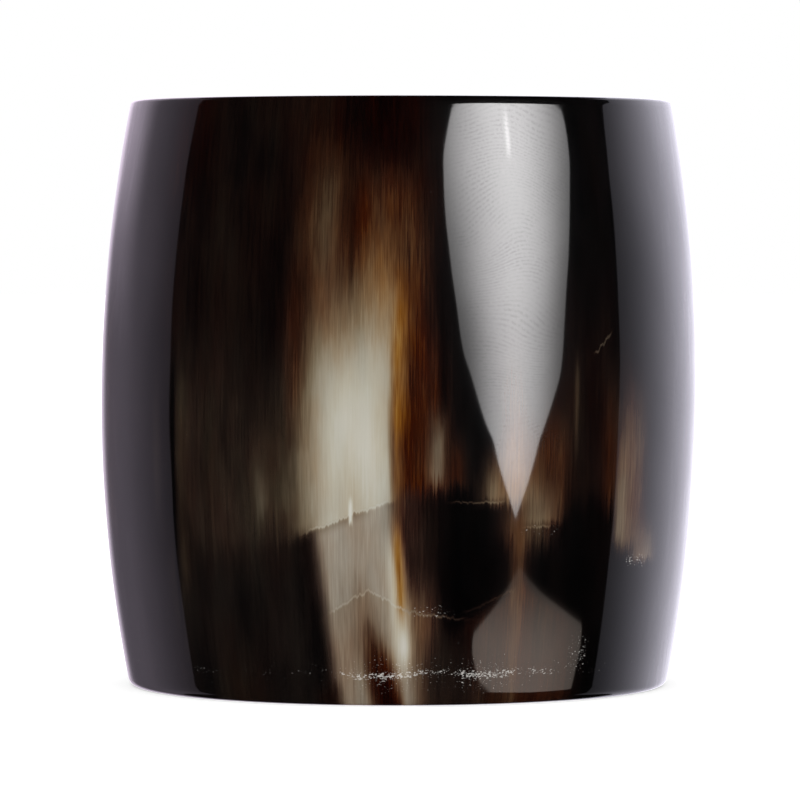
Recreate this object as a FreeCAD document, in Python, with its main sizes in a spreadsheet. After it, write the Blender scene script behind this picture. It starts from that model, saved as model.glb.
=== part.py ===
"""A barrel-shaped drinking cup of polished horn, in millimetres.

The wall is one section of cattle horn, turned outside and inside. A horn is a
hollow tube, so the cup's floor is a separate disc of flat-pressed horn. The
disc is let into a rebate turned up into the foot of the wall, against a
shoulder, and resin fills the gap round it and seals both corners. The foot
ring of the wall carries the cup.

The origin is the centre of the foot ring, on the surface that the cup stands
on, and +Z is up through the mouth.
"""

import FreeCAD
import Part
import Sketcher
import math
import os

# Alias, value in millimetres, what it measures.
DIMENSIONS = [
    ("cup_height", 78.4, "foot to rim"),
    ("belly_radius", 40.0, "outside, at the widest place"),
    ("belly_height", 39.5, "height of the widest place outside"),
    ("barrel_arc", 205.0, "radius of the arc that bulges the outside"),
    ("bowl_radius", 36.1, "inside, at the widest place"),
    ("bowl_height", 44.0, "height of the widest place inside"),
    ("bowl_arc", 245.0, "radius of the arc that bulges the inside"),
    ("rim_outer_round", 0.5, "rounding of the rim's outer edge"),
    ("rim_inner_round", 0.9, "rounding of the rim's inner edge"),
    ("foot_round", 1.2, "rounding of the foot's outer edge"),
    ("foot_bevel", 0.25, "bevel inside the foot ring"),
    ("seat_radius", 33.9, "rebate that the floor disc is let into"),
    ("seat_height", 4.2, "shoulder that the floor disc is pushed up against"),
    ("floor_thickness", 2.9, "the floor disc"),
    ("floor_bevel", 0.3, "bevel round both faces of the floor disc"),
    ("glue_gap", 0.15, "resin between disc and wall, all round the joint"),
    ("inner_bead", 0.7, "resin squeezed up into the corner of the bowl"),
    ("under_bead", 0.6, "resin wiped round the corner under the disc"),
]

# Heights and radii that follow from the dimensions, as spreadsheet expressions.
FLOOR_TOP = "Dim.seat_height - Dim.glue_gap"
FLOOR_UNDERSIDE = "Dim.seat_height - Dim.glue_gap - Dim.floor_thickness"
DISC_RADIUS = "Dim.seat_radius - Dim.glue_gap"
BLANK_RADIUS = "Dim.seat_radius + Dim.glue_gap"
BOWL_RADIUS_AT_SEAT = (
    "Dim.bowl_radius - Dim.bowl_arc + sqrt(Dim.bowl_arc^2 - (Dim.bowl_height - Dim.seat_height)^2)"
)

# Sketcher's numbers for the places on an edge and for its own axis and origin.
START, END, CENTRE = 1, 2, 3
ORIGIN = (-1, 1)
HORIZONTAL_AXIS = -1

UP = FreeCAD.Vector(0, 0, 1)
QUARTER_TURN = math.pi / 2
EDGE_TOLERANCE = 0.01
MM3_PER_CM3 = 1000


def make_sheet(doc):
    sheet = doc.addObject("Spreadsheet::Sheet", "Dim")
    for row, (alias, value, meaning) in enumerate(DIMENSIONS, start=1):
        sheet.set(f"A{row}", alias)
        sheet.set(f"B{row}", str(value))
        sheet.set(f"C{row}", meaning)
        sheet.setAlias(f"B{row}", alias)
    doc.recompute()
    return sheet


def new_body(doc, label):
    body = doc.addObject("PartDesign::Body", label)
    body.Label = label
    return body


def new_sketch(body, name, role):
    """A sketch on one of the body's own origin planes."""
    sketch = body.newObject("Sketcher::SketchObject", name)
    plane = next(f for f in body.Origin.OriginFeatures if f.Role == role)
    sketch.AttachmentSupport = [(plane, "")]
    sketch.MapMode = "FlatFace"
    return sketch


def line(sketch, start, end):
    return sketch.addGeometry(Part.LineSegment(FreeCAD.Vector(*start, 0), FreeCAD.Vector(*end, 0)), False)


def arc(sketch, centre, radius, start_angle, end_angle):
    """An arc that runs anticlockwise from one angle to the other."""
    circle = Part.Circle(FreeCAD.Vector(*centre, 0), UP, radius)
    return sketch.addGeometry(Part.ArcOfCircle(circle, start_angle, end_angle), False)


def hold(sketch, kind, *places):
    """Adds a constraint that has no size."""
    sketch.addConstraint(Sketcher.Constraint(kind, *places))


def bind(sketch, kind, *places, value, expression):
    """Adds a dimension, drawn at a value, and binds it to the spreadsheet."""
    index = sketch.addConstraint(Sketcher.Constraint(kind, *places, value))
    sketch.setExpression(f"Constraints[{index}]", expression)


def bulge_radius(sheet, side, sweep, height):
    """Radius at a height of a profile that is one arc, widest level with its centre."""
    widest, widest_height, arc_radius = (sheet.get(a) for a in (f"{side}_radius", f"{side}_height", sweep))
    return widest - arc_radius + math.sqrt(arc_radius**2 - (height - widest_height) ** 2)


def bulging_side(sketch, sheet, side, sweep, bottom, top):
    """Draws and dimensions the arc of the outside, or of the bowl, between two heights."""
    widest, widest_height, arc_radius = (sheet.get(a) for a in (f"{side}_radius", f"{side}_height", sweep))
    angles = (math.asin((z - widest_height) / arc_radius) for z in (bottom, top))
    edge = arc(sketch, (widest - arc_radius, widest_height), arc_radius, *angles)
    bind(sketch, "Radius", edge, value=arc_radius, expression=f"Dim.{sweep}")
    reach = arc_radius - widest
    bind(sketch, "DistanceX", edge, CENTRE, *ORIGIN, value=reach, expression=f"Dim.{sweep} - Dim.{side}_radius")
    bind(sketch, "DistanceY", *ORIGIN, edge, CENTRE, value=widest_height, expression=f"Dim.{side}_height")
    return edge


def revolve(body, sketch, name):
    turned = body.newObject("PartDesign::Revolution", name)
    turned.Profile = sketch
    turned.ReferenceAxis = (sketch, ["V_Axis"])
    turned.Angle = 360.0
    sketch.Visibility = False
    body.Document.recompute()


def ring_edge(shape, radius, height):
    """The name of the round edge with this radius and height."""
    for number, edge in enumerate(shape.Edges, start=1):
        if isinstance(edge.Curve, Part.Circle):
            off = max(abs(edge.Curve.Radius - radius), abs(edge.Curve.Center.z - height))
            if off < EDGE_TOLERANCE:
                return f"Edge{number}"
    raise RuntimeError(f"no round edge of radius {radius} at height {height}")


def dress(body, kind, name, size, alias, *rings):
    """Rounds or bevels the round edges that have these radii and heights."""
    before = body.Tip
    feature = body.newObject(kind, name)
    feature.Base = (before, [ring_edge(before.Shape, *r) for r in rings])
    feature.setExpression(size, f"Dim.{alias}")
    body.Document.recompute()


def make_horn_wall(doc, sheet):
    """The turned barrel of horn, with the rebate for the floor disc in its foot."""
    body = new_body(doc, "horn_wall")
    sketch = new_sketch(body, "wall_profile", "XZ_Plane")
    foot_out = (bulge_radius(sheet, "belly", "barrel_arc", 0), 0)
    rim_out = (bulge_radius(sheet, "belly", "barrel_arc", sheet.cup_height), sheet.cup_height)
    rim_in = (bulge_radius(sheet, "bowl", "bowl_arc", sheet.cup_height), sheet.cup_height)
    shoulder_in = (bulge_radius(sheet, "bowl", "bowl_arc", sheet.seat_height), sheet.seat_height)
    shoulder_out = (sheet.seat_radius, sheet.seat_height)
    foot_in = (sheet.seat_radius, 0)

    foot = line(sketch, foot_in, foot_out)
    outside = bulging_side(sketch, sheet, "belly", "barrel_arc", 0, sheet.cup_height)
    rim = line(sketch, rim_out, rim_in)
    inside = bulging_side(sketch, sheet, "bowl", "bowl_arc", sheet.seat_height, sheet.cup_height)
    shoulder = line(sketch, shoulder_in, shoulder_out)
    seat = line(sketch, shoulder_out, foot_in)
    hold(sketch, "Coincident", foot, END, outside, START)
    hold(sketch, "Coincident", outside, END, rim, START)
    hold(sketch, "Coincident", rim, END, inside, END)
    hold(sketch, "Coincident", inside, START, shoulder, START)
    hold(sketch, "Coincident", shoulder, END, seat, START)
    hold(sketch, "Coincident", seat, END, foot, START)
    for level in (foot, rim, shoulder):
        hold(sketch, "Horizontal", level)
    hold(sketch, "Vertical", seat)
    hold(sketch, "PointOnObject", foot, START, HORIZONTAL_AXIS)
    bind(sketch, "DistanceX", *ORIGIN, foot, START, value=sheet.seat_radius, expression="Dim.seat_radius")
    bind(sketch, "DistanceY", *ORIGIN, shoulder, END, value=sheet.seat_height, expression="Dim.seat_height")
    bind(sketch, "DistanceY", *ORIGIN, rim, START, value=sheet.cup_height, expression="Dim.cup_height")

    revolve(body, sketch, "turned_wall")
    dress(body, "PartDesign::Fillet", "rim_outer_edge", "Radius", "rim_outer_round", rim_out)
    dress(body, "PartDesign::Fillet", "rim_inner_edge", "Radius", "rim_inner_round", rim_in)
    dress(body, "PartDesign::Fillet", "foot_outer_edge", "Radius", "foot_round", foot_out)
    dress(body, "PartDesign::Chamfer", "foot_inner_edge", "Size", "foot_bevel", foot_in)
    return body


def make_base_disc(doc, sheet):
    """The flat horn disc that closes the tube, bevelled round both faces."""
    body = new_body(doc, "base_disc")
    sketch = new_sketch(body, "disc_outline", "XY_Plane")
    sketch.setExpression("AttachmentOffset.Base.z", FLOOR_UNDERSIDE)
    radius = sheet.seat_radius - sheet.glue_gap
    outline = sketch.addGeometry(Part.Circle(FreeCAD.Vector(), UP, radius), False)
    hold(sketch, "Coincident", outline, CENTRE, *ORIGIN)
    bind(sketch, "Radius", outline, value=radius, expression=DISC_RADIUS)

    disc = body.newObject("PartDesign::Pad", "disc_plate")
    disc.Profile = sketch
    disc.setExpression("Length", "Dim.floor_thickness")
    sketch.Visibility = False
    doc.recompute()
    top = sheet.seat_height - sheet.glue_gap
    edges = (radius, top), (radius, top - sheet.floor_thickness)
    dress(body, "PartDesign::Chamfer", "disc_edges", "Size", "floor_bevel", *edges)
    return body


def make_seal_blank(doc, sheet):
    """A ring that spans the joint between wall and disc, with a hollow fillet in each corner."""
    body = new_body(doc, "seal_blank")
    sketch = new_sketch(body, "seal_profile", "XZ_Plane")
    floor_top = sheet.seat_height - sheet.glue_gap
    underside = floor_top - sheet.floor_thickness
    low, high = underside - sheet.under_bead, floor_top + sheet.inner_bead
    blank_radius = sheet.seat_radius + sheet.glue_gap
    bowl_radius = bulge_radius(sheet, "bowl", "bowl_arc", sheet.seat_height)
    bead_radius, under_radius = bowl_radius - sheet.inner_bead, sheet.seat_radius - sheet.under_bead

    below = line(sketch, (sheet.seat_radius, low), (blank_radius, low))
    outer = line(sketch, (blank_radius, low), (blank_radius, high))
    above = line(sketch, (blank_radius, high), (bowl_radius, high))
    upper_fillet = arc(sketch, (bead_radius, high), sheet.inner_bead, -QUARTER_TURN, 0)
    inner = line(sketch, (bead_radius, floor_top), (bead_radius, underside))
    under_disc = line(sketch, (bead_radius, underside), (under_radius, underside))
    lower_fillet = arc(sketch, (under_radius, low), sheet.under_bead, 0, QUARTER_TURN)
    hold(sketch, "Coincident", below, END, outer, START)
    hold(sketch, "Coincident", outer, END, above, START)
    hold(sketch, "Coincident", above, END, upper_fillet, END)
    hold(sketch, "Coincident", upper_fillet, START, inner, START)
    hold(sketch, "Coincident", inner, END, under_disc, START)
    hold(sketch, "Coincident", under_disc, END, lower_fillet, END)
    hold(sketch, "Coincident", lower_fillet, START, below, START)
    for level in (below, above, under_disc):
        hold(sketch, "Horizontal", level)
    for upright in (outer, inner):
        hold(sketch, "Vertical", upright)
    hold(sketch, "Horizontal", upper_fillet, CENTRE, upper_fillet, END)
    hold(sketch, "Vertical", upper_fillet, CENTRE, upper_fillet, START)
    hold(sketch, "Horizontal", lower_fillet, CENTRE, lower_fillet, START)
    hold(sketch, "Vertical", lower_fillet, CENTRE, lower_fillet, END)
    bind(sketch, "Radius", upper_fillet, value=sheet.inner_bead, expression="Dim.inner_bead")
    bind(sketch, "Radius", lower_fillet, value=sheet.under_bead, expression="Dim.under_bead")
    bind(sketch, "DistanceX", *ORIGIN, above, END, value=bowl_radius, expression=BOWL_RADIUS_AT_SEAT)
    bind(sketch, "DistanceX", *ORIGIN, below, START, value=sheet.seat_radius, expression="Dim.seat_radius")
    bind(sketch, "DistanceX", *ORIGIN, below, END, value=blank_radius, expression=BLANK_RADIUS)
    bind(sketch, "DistanceY", *ORIGIN, inner, START, value=floor_top, expression=FLOOR_TOP)
    bind(sketch, "DistanceY", *ORIGIN, inner, END, value=underside, expression=FLOOR_UNDERSIDE)

    revolve(body, sketch, "turned_blank")
    return body


def cut(doc, label, base, tool):
    made = doc.addObject("Part::Cut", label)
    made.Label = label
    made.Base = base
    made.Tool = tool
    doc.recompute()
    return made


def make_base_seal(doc, sheet, wall, disc):
    """The resin, which takes the shape that the wall and the disc leave it."""
    blank = make_seal_blank(doc, sheet)
    outside_disc = cut(doc, "seal_blank_less_disc", blank, disc)
    return cut(doc, "base_seal", outside_disc, wall)


def check(doc, sub_parts):
    """Stops the script if any object failed, any sketch is loose or any sub-part is not one good solid."""
    for item in doc.Objects:
        if {"Invalid", "Error"} & set(item.State):
            raise RuntimeError(f"{item.Label} failed to recompute: {item.State}")
        if item.TypeId == "Sketcher::SketchObject" and item.solve() != 0:
            raise RuntimeError(f"{item.Label} can't be solved")
    for item in sub_parts:
        shape = item.Shape
        if shape.isNull() or not shape.isValid() or len(shape.Solids) != 1:
            raise RuntimeError(f"{item.Label} isn't one valid solid")


def write(sub_parts):
    os.makedirs("parts", exist_ok=True)
    for item in sub_parts:
        item.Shape.exportStep(os.path.join("parts", item.Label + ".step"))
        print(f"{item.Label}: {item.Shape.Volume / MM3_PER_CM3:.2f} cm3")


def main():
    doc = FreeCAD.newDocument("horn_cup")
    sheet = make_sheet(doc)
    wall = make_horn_wall(doc, sheet)
    disc = make_base_disc(doc, sheet)
    seal = make_base_seal(doc, sheet, wall, disc)
    doc.recompute()
    sub_parts = [wall, disc, seal]
    check(doc, sub_parts)
    write(sub_parts)


main()
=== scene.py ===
"""A barrel-shaped drinking cup turned from a section of cattle horn, in metres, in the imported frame.

The wall is one ring of horn with its natural colouring, polished outside and scraped inside. A disc
of flat-pressed horn is let into its foot, and resin seals the joint.
"""
import math

import bmesh
import bpy
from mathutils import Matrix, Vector, noise


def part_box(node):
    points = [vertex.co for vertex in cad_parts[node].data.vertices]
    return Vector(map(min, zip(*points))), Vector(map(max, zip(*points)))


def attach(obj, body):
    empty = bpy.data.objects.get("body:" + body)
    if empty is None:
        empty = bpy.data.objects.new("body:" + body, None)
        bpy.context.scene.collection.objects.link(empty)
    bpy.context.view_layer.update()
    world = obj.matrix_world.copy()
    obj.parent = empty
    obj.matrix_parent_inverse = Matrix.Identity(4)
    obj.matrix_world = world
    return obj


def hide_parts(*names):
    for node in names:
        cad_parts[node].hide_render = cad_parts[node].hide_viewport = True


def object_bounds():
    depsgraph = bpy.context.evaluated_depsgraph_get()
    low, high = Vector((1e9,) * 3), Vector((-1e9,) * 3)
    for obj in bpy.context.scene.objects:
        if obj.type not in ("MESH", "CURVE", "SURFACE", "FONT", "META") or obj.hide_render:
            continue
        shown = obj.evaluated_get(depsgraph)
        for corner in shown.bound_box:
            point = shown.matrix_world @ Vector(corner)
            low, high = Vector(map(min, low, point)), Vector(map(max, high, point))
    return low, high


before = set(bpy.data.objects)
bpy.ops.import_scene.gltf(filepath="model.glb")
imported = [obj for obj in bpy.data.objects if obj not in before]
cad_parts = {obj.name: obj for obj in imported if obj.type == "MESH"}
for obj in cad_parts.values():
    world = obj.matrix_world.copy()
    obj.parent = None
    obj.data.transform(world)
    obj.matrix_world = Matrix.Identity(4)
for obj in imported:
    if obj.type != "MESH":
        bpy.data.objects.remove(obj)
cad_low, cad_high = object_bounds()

# ---------------------------------------------------------------------------------------------------
# The camera. A long lens three quarters of a metre away, four fifths of the way up the cup and tipped
# slightly down, so that the rim is seen from just below and the foot from just above.
CAMERA_DISTANCE = 0.751
CAMERA_HEIGHT = 0.0622
CAMERA_SIDESTEP = 0.00027
CAMERA_TIP = math.radians(1.83)

lens = bpy.data.cameras.new("camera")
lens.lens = 251
lens.sensor_width = 36
camera = bpy.data.objects.new("camera", lens)
camera.location = (CAMERA_SIDESTEP, -CAMERA_DISTANCE, CAMERA_HEIGHT)
camera.rotation_euler = (math.pi / 2 - CAMERA_TIP, 0, 0)
bpy.context.collection.objects.link(camera)
bpy.context.scene.camera = camera
bpy.context.scene.view_settings.view_transform = "Standard"


# ---------------------------------------------------------------------------------------------------
# The studio. A pale table, a white tent behind the cup that wraps round both its sides, and one large
# softbox high on the right, pointed at its foot. A second card stands in for its image in the table.
TENT_RADIUS = 1.2
TENT_LEFT, TENT_RIGHT = -97.0, 91.8
TENT_TOP, TENT_BOTTOM = 1.1, -0.9
TENT_SHOULDER_LOW, TENT_SHOULDER_RISE = 0.29, 0.14
SOFTBOX_DISTANCE, SOFTBOX_AZIMUTH = 1.2, 46.0
TABLE_REACH = 4.0


def new_object(name, mesh):
    made = bpy.data.objects.new(name, mesh)
    bpy.context.collection.objects.link(made)
    return made


def fill(tree, socket, value):
    """Sets a socket to a plain value, or links it when the value is another node's output."""
    if isinstance(value, bpy.types.NodeSocket):
        tree.links.new(value, socket)
    else:
        socket.default_value = value


def maths(tree, operation, *values):
    node = tree.nodes.new("ShaderNodeMath")
    node.operation = operation
    for socket, value in zip(node.inputs, values):
        fill(tree, socket, value)
    return node.outputs["Value"]


def ease(tree, value, start, end, low=0.0, high=1.0):
    """Low at the start and high at the end, with a soft step between them."""
    node = tree.nodes.new("ShaderNodeMapRange")
    node.interpolation_type = "SMOOTHSTEP"
    node.clamp = False
    fill(tree, node.inputs["Value"], value)
    fill(tree, node.inputs["From Min"], start)
    fill(tree, node.inputs["From Max"], end)
    fill(tree, node.inputs["To Min"], low)
    fill(tree, node.inputs["To Max"], high)
    return node.outputs["Result"]


def coordinates(tree):
    """The object's own X, Y and Z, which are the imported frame's."""
    split = tree.nodes.new("ShaderNodeSeparateXYZ")
    tree.links.new(tree.nodes.new("ShaderNodeTexCoord").outputs["Object"], split.inputs["Vector"])
    return split.outputs


def angle_round_cup(tree, place):
    """Degrees from the cup's front, towards its right."""
    towards_front = maths(tree, "MULTIPLY", place["Y"], -1.0)
    return maths(tree, "DEGREES", maths(tree, "ARCTAN2", place["X"], towards_front))


def light_material(name, tint, strength):
    """A light-giving surface. The strength is a function that works it out in the material's nodes."""
    material = bpy.data.materials.new(name)
    material.use_nodes = True
    tree = material.node_tree
    tree.nodes.clear()
    glow = tree.nodes.new("ShaderNodeEmission")
    glow.inputs["Color"].default_value = (*tint, 1)
    tree.links.new(strength(tree), glow.inputs["Strength"])
    out = tree.nodes.new("ShaderNodeOutputMaterial")
    tree.links.new(glow.outputs["Emission"], out.inputs["Surface"])
    return material


def hang(card, material):
    """The cup's polish mirrors a card, but the card itself is kept out of sight and throws no shade."""
    card.data.materials.append(material)
    card.visible_camera = False
    card.visible_diffuse = False
    card.visible_shadow = False


def right_tent_strength(tree):
    """Brightest behind the cup's shoulder, and a little brighter above."""
    place = coordinates(tree)
    behind = ease(tree, angle_round_cup(tree, place), 85, 138, 0.3, 1.7)
    low_down = ease(tree, place["Z"], -0.5, -0.15, 0.72, 1.0)
    high_up = ease(tree, place["Z"], 0.1, 0.36, 0.0, 0.4)
    return maths(tree, "MULTIPLY", behind, maths(tree, "ADD", low_down, high_up))


def left_tent_strength(tree):
    """Dim, and dimmer still towards the back, except high up and where it meets the white wall."""
    place = coordinates(tree)
    azimuth = angle_round_cup(tree, place)
    side = maths(tree, "MULTIPLY", ease(tree, azimuth, -88, -118, 0.22, 0.48),
                 ease(tree, azimuth, -125, -152, 1.0, 0.5))
    high = maths(tree, "MULTIPLY", ease(tree, azimuth, -122, -152),
                 ease(tree, place["Z"], 0.04, 0.24, 0.0, 3.5))
    behind = ease(tree, azimuth, -153, -166, 0.0, 3.0)
    return maths(tree, "MULTIPLY", side, maths(tree, "ADD", maths(tree, "ADD", high, behind), 1.0))


def tent_side(name, start, end, shoulder, material):
    """Half of the tent: an upright curved wall of cloth, whose near top corner may be rounded."""
    mesh = bpy.data.meshes.new(name)
    build = bmesh.new()
    columns = []
    for i in range(91):
        azimuth = start + (end - start) * i / 90
        turn = math.radians(azimuth)
        x, y = TENT_RADIUS * math.sin(turn), -TENT_RADIUS * math.cos(turn)
        top = TENT_TOP
        if azimuth < start + shoulder:
            short_of = (start + shoulder - azimuth) / shoulder
            top = TENT_SHOULDER_LOW + TENT_SHOULDER_RISE * math.sqrt(1 - short_of ** 2)
        columns.append([build.verts.new((x, y, TENT_BOTTOM)), build.verts.new((x, y, top))])
    for (low_a, high_a), (low_b, high_b) in zip(columns, columns[1:]):
        build.faces.new((low_a, low_b, high_b, high_a))
    build.to_mesh(mesh)
    build.free()
    hang(new_object(name, mesh), material)


right_cloth = light_material("right_cloth", (0.88, 0.85, 0.98), right_tent_strength)
left_cloth = light_material("left_cloth", (0.93, 0.80, 0.98), left_tent_strength)
tent_side("tent_right", TENT_RIGHT, 180, 8, right_cloth)
tent_side("tent_left", -180, TENT_LEFT, 0, left_cloth)


def eased_corner(corner, before, after, radius, steps=5):
    """The points of a round that eases one corner of an outline."""
    corner, before, after = Vector(corner), Vector(before), Vector(after)
    back, on = (before - corner).normalized(), (after - corner).normalized()
    half = back.angle(on) / 2
    centre = corner + (back + on).normalized() * radius / math.sin(half)
    first = corner + back * radius / math.tan(half) - centre
    last = corner + on * radius / math.tan(half) - centre
    return [centre + first.slerp(last, i / steps) * radius for i in range(steps + 1)]


def flat_card(name, corners):
    """A flat card that faces the cup. Each corner is its place across and up, and how round it is."""
    outline = []
    for i, (across, up, round_off) in enumerate(corners):
        before, after = corners[i - 1][:2], corners[(i + 1) % len(corners)][:2]
        outline += eased_corner((across, up), before, after, round_off, 10)
    mesh = bpy.data.meshes.new(name)
    mesh.from_pydata([(point.x, 0, point.y) for point in outline], [], [range(len(outline))])
    card = new_object(name, mesh)
    turn = math.radians(SOFTBOX_AZIMUTH)
    card.location = (SOFTBOX_DISTANCE * math.sin(turn), -SOFTBOX_DISTANCE * math.cos(turn), 0)
    card.rotation_euler = (0, 0, turn)
    return card


def softbox_strength(tree):
    """Its tube shines through the cloth down the middle, most of all at the top."""
    place = coordinates(tree)
    off_middle = maths(tree, "ABSOLUTE", maths(tree, "ADD", place["X"], 0.04))
    reach = ease(tree, place["Z"], 0.0, 0.5, 0.44, 0.76)
    cloth = maths(tree, "MULTIPLY", ease(tree, off_middle, reach, 0.0, 2.6, 15.5),
                  maths(tree, "SUBTRACT", ease(tree, place["Z"], -0.2, 0.6, 0.60, 1.0),
                        ease(tree, place["Z"], -0.08, -0.2, 0.0, 0.25)))
    tube = maths(tree, "MULTIPLY", ease(tree, place["Z"], 0.41, 0.44), ease(tree, place["Z"], 0.49, 0.46))
    lamp = maths(tree, "MULTIPLY", ease(tree, off_middle, 0.035, 0.0, 0.0, 7.0), tube)
    return maths(tree, "ADD", cloth, lamp)


softbox_corners = [(-0.53, 0.56, 0.06), (-0.635, 0.50, 0.06), (-0.655, 0.38, 0.2), (-0.50, 0.08, 0.25),
                   (0.0, -0.21, 0.02), (0.36, 0.03, 0.12), (0.67, 0.46, 0.06)]
hang(flat_card("softbox", softbox_corners),
     light_material("softbox_cloth", (1.0, 0.985, 0.99), softbox_strength))


def mirrored_strength(tree):
    """The softbox's image in the polished table top, brightest low down and in the middle."""
    place = coordinates(tree)
    off_middle = maths(tree, "ABSOLUTE", maths(tree, "SUBTRACT", place["X"], 0.08))
    return maths(tree, "MULTIPLY", ease(tree, place["Z"], -0.26, -0.46, 0.35, 2.0),
                 ease(tree, off_middle, 0.1, 0.9, 1.1, 0.5))


mirrored_corners = [(-0.36, -0.45, 0.03), (0.05, -0.28, 0.10), (0.89, -0.42, 0.05), (0.80, -0.56, 0.09),
                    (0.30, -0.57, 0.2), (-0.24, -0.53, 0.08)]
hang(flat_card("softbox_in_table_top", mirrored_corners),
     light_material("mirrored_cloth", (1.0, 0.86, 0.76), mirrored_strength))

table_mesh = bpy.data.meshes.new("table_top")
table_corners = [(across * TABLE_REACH, along * TABLE_REACH, cad_low.z)
                 for across, along in ((-1, -1), (1, -1), (1, 1), (-1, 1))]
table_mesh.from_pydata(table_corners, [], [(0, 1, 2, 3)])
table = new_object("table_top", table_mesh)
table.visible_glossy = False

table_paint = bpy.data.materials.new("white_table")
table_paint.use_nodes = True
nodes, links = table_paint.node_tree.nodes, table_paint.node_tree.links
paint = nodes["Principled BSDF"]
paint.inputs["Base Color"].default_value = (0.9, 0.9, 0.9, 1)
paint.inputs["Roughness"].default_value = 1.0
paint.inputs["Specular IOR Level"].default_value = 0.0
paint.inputs["Emission Color"].default_value = (1, 1, 1, 1)
paint.inputs["Emission Strength"].default_value = 0.5
see_through = nodes.new("ShaderNodeBsdfTransparent")
one_sided = nodes.new("ShaderNodeMixShader")
links.new(nodes.new("ShaderNodeNewGeometry").outputs["Backfacing"], one_sided.inputs["Fac"])
links.new(paint.outputs["BSDF"], one_sided.inputs[1])
links.new(see_through.outputs["BSDF"], one_sided.inputs[2])
links.new(one_sided.outputs["Shader"], nodes["Material Output"].inputs["Surface"])
table_mesh.materials.append(table_paint)

room = bpy.data.worlds.new("studio")
bpy.context.scene.world = room
room.use_nodes = True
nodes, links = room.node_tree.nodes, room.node_tree.links
nodes.clear()
soft_light = nodes.new("ShaderNodeBackground")
soft_light.inputs["Color"].default_value = (1, 1, 1, 1)
unlit_room = nodes.new("ShaderNodeBackground")
unlit_room.inputs["Color"].default_value = (0.006, 0.005, 0.006, 1)
chosen = nodes.new("ShaderNodeMixShader")
links.new(nodes.new("ShaderNodeLightPath").outputs["Is Glossy Ray"], chosen.inputs["Fac"])
links.new(soft_light.outputs["Background"], chosen.inputs[1])
links.new(unlit_room.outputs["Background"], chosen.inputs[2])
links.new(chosen.outputs["Shader"], nodes.new("ShaderNodeOutputWorld").inputs["Surface"])

# ---------------------------------------------------------------------------------------------------
# The wall: one section of cattle horn, sawn off, bored and turned to a barrel on a lathe, then
# polished outside. Horn is laid down in upright fibres and thin layers, so the turned barrel cuts
# through cream, amber and nearly black layers, which end in frayed edges.
wall_low, wall_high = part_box("horn_wall")
CUP_HEIGHT = wall_high.z
BELLY_RADIUS, BELLY_HEIGHT, BARREL_ARC = (wall_high.x - wall_low.x) / 2, 0.0395, 0.205
BOWL_RADIUS, BOWL_HEIGHT, BOWL_ARC = 0.0361, 0.044, 0.245
RIM_OUTER_ROUND, RIM_INNER_ROUND = 0.0005, 0.0009
FOOT_ROUND, FOOT_BEVEL = 0.0012, 0.00025
SEAT_RADIUS, SEAT_HEIGHT = 0.0339, 0.0042
RIM_LEAN = 0.0005
TURNS = 288


def outside_radius(height):
    return BELLY_RADIUS - BARREL_ARC + math.sqrt(BARREL_ARC ** 2 - (height - BELLY_HEIGHT) ** 2)


def bowl_radius(height):
    return BOWL_RADIUS - BOWL_ARC + math.sqrt(BOWL_ARC ** 2 - (height - BOWL_HEIGHT) ** 2)


def heights_between(low, high, steps):
    return [low + (high - low) * i / steps for i in range(steps + 1)]


def wall_outline():
    """The cut face of the wall, as radius and height, anticlockwise from inside the foot ring."""
    foot_out, rim_out = (outside_radius(0), 0), (outside_radius(CUP_HEIGHT), CUP_HEIGHT)
    rim_in = (bowl_radius(CUP_HEIGHT), CUP_HEIGHT)
    near = 0.002
    above_foot = (outside_radius(near), near)
    below_rim_out = (outside_radius(CUP_HEIGHT - near), CUP_HEIGHT - near)
    below_rim_in = (bowl_radius(CUP_HEIGHT - near), CUP_HEIGHT - near)
    foot_curve = eased_corner(foot_out, (SEAT_RADIUS, 0), above_foot, FOOT_ROUND)
    rim_curve = eased_corner(rim_out, below_rim_out, rim_in, RIM_OUTER_ROUND)
    lip_curve = eased_corner(rim_in, rim_out, below_rim_in, RIM_INNER_ROUND)
    outside = [(outside_radius(z), z) for z in heights_between(foot_curve[-1].y, rim_curve[0].y, 110)]
    inside = [(bowl_radius(z), z) for z in heights_between(lip_curve[-1].y, SEAT_HEIGHT, 40)]
    foot_bevel = [(SEAT_RADIUS, FOOT_BEVEL), (SEAT_RADIUS + FOOT_BEVEL, 0)]
    shoulder = [(SEAT_RADIUS, SEAT_HEIGHT)]
    return foot_bevel + foot_curve[:-1] + outside + rim_curve[1:] + lip_curve + inside[1:] + shoulder


def turned(name, outline, shift=lambda angle, radius, height: (radius, height), turns=TURNS):
    """Revolves a closed outline. The shift moves each point of it a little, as a hand does."""
    mesh = bpy.data.meshes.new(name)
    build = bmesh.new()
    rings = []
    for i in range(turns):
        angle = math.tau * i / turns
        ring = []
        for radius, height in outline:
            radius, height = shift(angle, radius, height)
            ring.append(build.verts.new((radius * math.sin(angle), -radius * math.cos(angle), height)))
        rings.append(ring)
    for ring, after in zip(rings, rings[1:] + rings[:1]):
        for i in range(len(outline)):
            j = (i + 1) % len(outline)
            build.faces.new((ring[i], after[i], after[j], ring[j]))
    bmesh.ops.recalc_face_normals(build, faces=build.faces)
    for face in build.faces:
        face.smooth = True
    build.to_mesh(mesh)
    build.free()
    return new_object(name, mesh)


def hand_finish(angle, radius, height):
    """Leaves the wall out of round by a tenth of a millimetre or two, above the disc's seat."""
    free = min(1.0, max(0.0, (height - SEAT_HEIGHT) / 0.02))
    if radius < SEAT_RADIUS + 0.0002 and height <= SEAT_HEIGHT:
        return radius, height
    place = Vector((math.sin(angle), -math.cos(angle), height * 22))
    swell = 0.00012 * noise.noise(place * 1.3) + 0.00005 * noise.noise(place * 4)
    return radius + free * swell, height


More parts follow.
